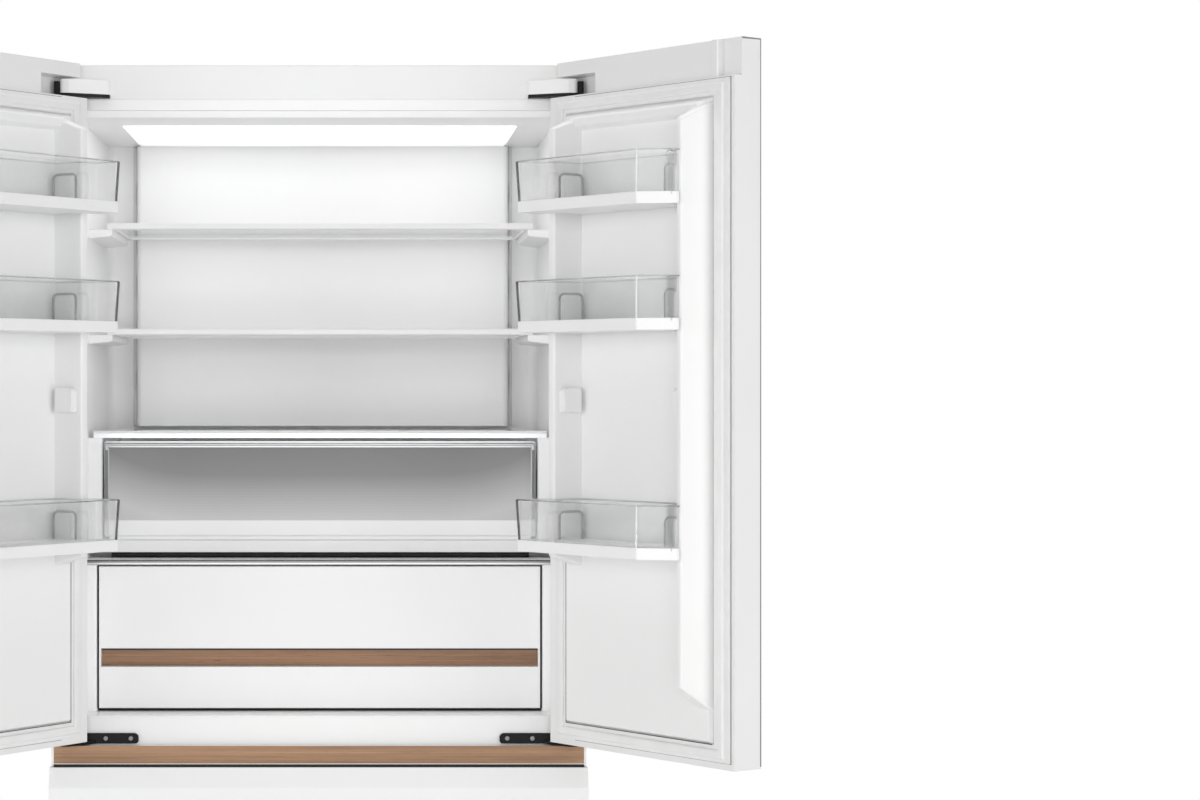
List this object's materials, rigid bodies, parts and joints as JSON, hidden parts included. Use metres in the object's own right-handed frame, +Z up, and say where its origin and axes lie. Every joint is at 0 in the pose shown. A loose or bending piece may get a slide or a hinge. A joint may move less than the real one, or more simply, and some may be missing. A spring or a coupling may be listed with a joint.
{
  "type": "refrigerator",
  "caption": "White French-door refrigerator with its upper doors open on glass shelves, door bins and inner drawers, above pull-out freezer drawers with wood-tone grips.",
  "frame": {"origin": "on the floor, under the middle of the whole object with its doors open", "axes": "+X to the right seen from the front, +Y towards the back, +Z up"},
  "size_m": [1.2788, 0.9644, 1.83],
  "materials": {
    "case_white": "satin white powder coat",
    "door_white": "satin white coated steel over foam",
    "liner_white": "satin vacuum-formed plastic",
    "trim_white": "satin moulded plastic",
    "wood_tone": "wood-tone strip with fine straight grain",
    "bin_clear": "clear moulded plastic",
    "shelf_glass": "clear toughened glass",
    "frosted": "frosted grey panel",
    "bright_trim": "satin bright trim",
    "seal_grey": "soft white seal",
    "hinge_black": "black coated steel",
    "galvanised": "galvanised steel",
    "dark_plastic": "matte dark plastic",
    "foam_cream": "rigid foam",
    "light_diffuser": "opal light cover"
  },
  "bodies": {
    "cabinet": {"outer_case": "case_white", "rear_panel": "galvanised", "base_pan": "galvanised", "fridge_liner": "liner_white", "freezer_liner": "liner_white", "foam_core": "foam_cream", "top_beam": "trim_white", "mid_beam": "trim_white", "freezer_beam": "trim_white", "kick_plate": "trim_white", "air_panel": "trim_white", "light_cover": "light_diffuser", "shelf_glass": "shelf_glass", "shelf_frames": "trim_white", "cover_shelf_glass": "shelf_glass", "cover_shelf_frame": "bright_trim", "drawer_partition": "trim_white", "partition_trim": "bright_trim", "hinge_screws": "galvanised", "evaporator": "galvanised", "compressor": "hinge_black", "rear_cover": "galvanised", "drawer_rails": "galvanised", "top_hinge_left": "hinge_black", "hinge_cover_left": "trim_white", "lower_hinge_left": "hinge_black", "top_hinge_right": "hinge_black", "hinge_cover_right": "trim_white", "lower_hinge_right": "hinge_black"},
    "left_door": {"door_body_left": "door_white", "door_liner_left": "liner_white", "door_gasket_left": "seal_grey", "bin_trays_left": "trim_white", "bin_walls_left": "bin_clear"},
    "left_foot": {"front_foot_left": "dark_plastic"},
    "right_door": {"door_body_right": "door_white", "door_liner_right": "liner_white", "door_gasket_right": "seal_grey", "bin_trays_right": "trim_white", "bin_walls_right": "bin_clear"},
    "right_foot": {"front_foot_right": "dark_plastic"},
    "upper_drawer": {"upper_drawer_front": "door_white", "upper_drawer_grip": "wood_tone", "upper_drawer_gasket": "seal_grey", "upper_drawer_tub": "trim_white", "upper_drawer_slides": "galvanised"},
    "lower_drawer": {"lower_drawer_front": "door_white", "lower_drawer_grip": "wood_tone", "lower_drawer_gasket": "seal_grey", "lower_drawer_tub": "trim_white", "lower_drawer_slides": "galvanised"},
    "flap": {"centre_flap": "trim_white"},
    "chilled_drawer": {"chilled_front": "frosted", "chilled_trim": "bright_trim", "chilled_tub": "trim_white"},
    "crisper": {"crisper_front": "trim_white", "crisper_grip": "wood_tone", "crisper_tub": "trim_white"},
    "fan": {"evaporator_fan": "dark_plastic"},
    "rollers": {"rear_rollers": "dark_plastic"}
  },
  "joints": [
    {"name": "left_door_swing", "type": "hinge", "parent": "cabinet", "child": "left_door", "pos_m": [-0.393, -0.12479, 1.3], "axis": [0, 0, -1], "range_deg": [-125.4, 4.6]},
    {"name": "right_door_swing", "type": "hinge", "parent": "cabinet", "child": "right_door", "pos_m": [0.393, -0.12479, 1.3], "axis": [0, 0, 1], "range_deg": [-125.4, 4.6]},
    {"name": "flap_fold", "type": "hinge", "parent": "left_door", "child": "flap", "pos_m": [-0.57606, -0.4523, 1.28], "axis": [0, 0, -1], "range_deg": [-3.5, 90]},
    {"name": "chilled_drawer_slide", "type": "slide", "parent": "cabinet", "child": "chilled_drawer", "axis": [0, -1, 0], "range_m": [0, 0.2]},
    {"name": "crisper_slide", "type": "slide", "parent": "cabinet", "child": "crisper", "axis": [0, -1, 0], "range_m": [0, 0.3]},
    {"name": "upper_drawer_slide", "type": "slide", "parent": "cabinet", "child": "upper_drawer", "axis": [0, -1, 0], "range_m": [0, 0.33]},
    {"name": "lower_drawer_slide", "type": "slide", "parent": "cabinet", "child": "lower_drawer", "axis": [0, -1, 0], "range_m": [0, 0.2]},
    {"name": "fan_spin", "type": "hinge", "parent": "cabinet", "child": "fan", "pos_m": [0, 0.36121, 1.58741], "axis": [0, 1, 0], "continuous": true},
    {"name": "rollers_spin", "type": "hinge", "parent": "cabinet", "child": "rollers", "pos_m": [0, 0.43121, 0.015], "axis": [1, 0, 0], "continuous": true},
    {"name": "left_foot_turn", "type": "hinge", "parent": "cabinet", "child": "left_foot", "pos_m": [-0.36, -0.04379, 0.02], "axis": [0, 0, 1], "continuous": true},
    {"name": "right_foot_turn", "type": "hinge", "parent": "cabinet", "child": "right_foot", "pos_m": [0.36, -0.04379, 0.02], "axis": [0, 0, 1], "continuous": true}
  ],
  "couplings": [
    {"joint": "flap_fold", "follows": "left_door_swing", "ratio": -0.7177}
  ]
}
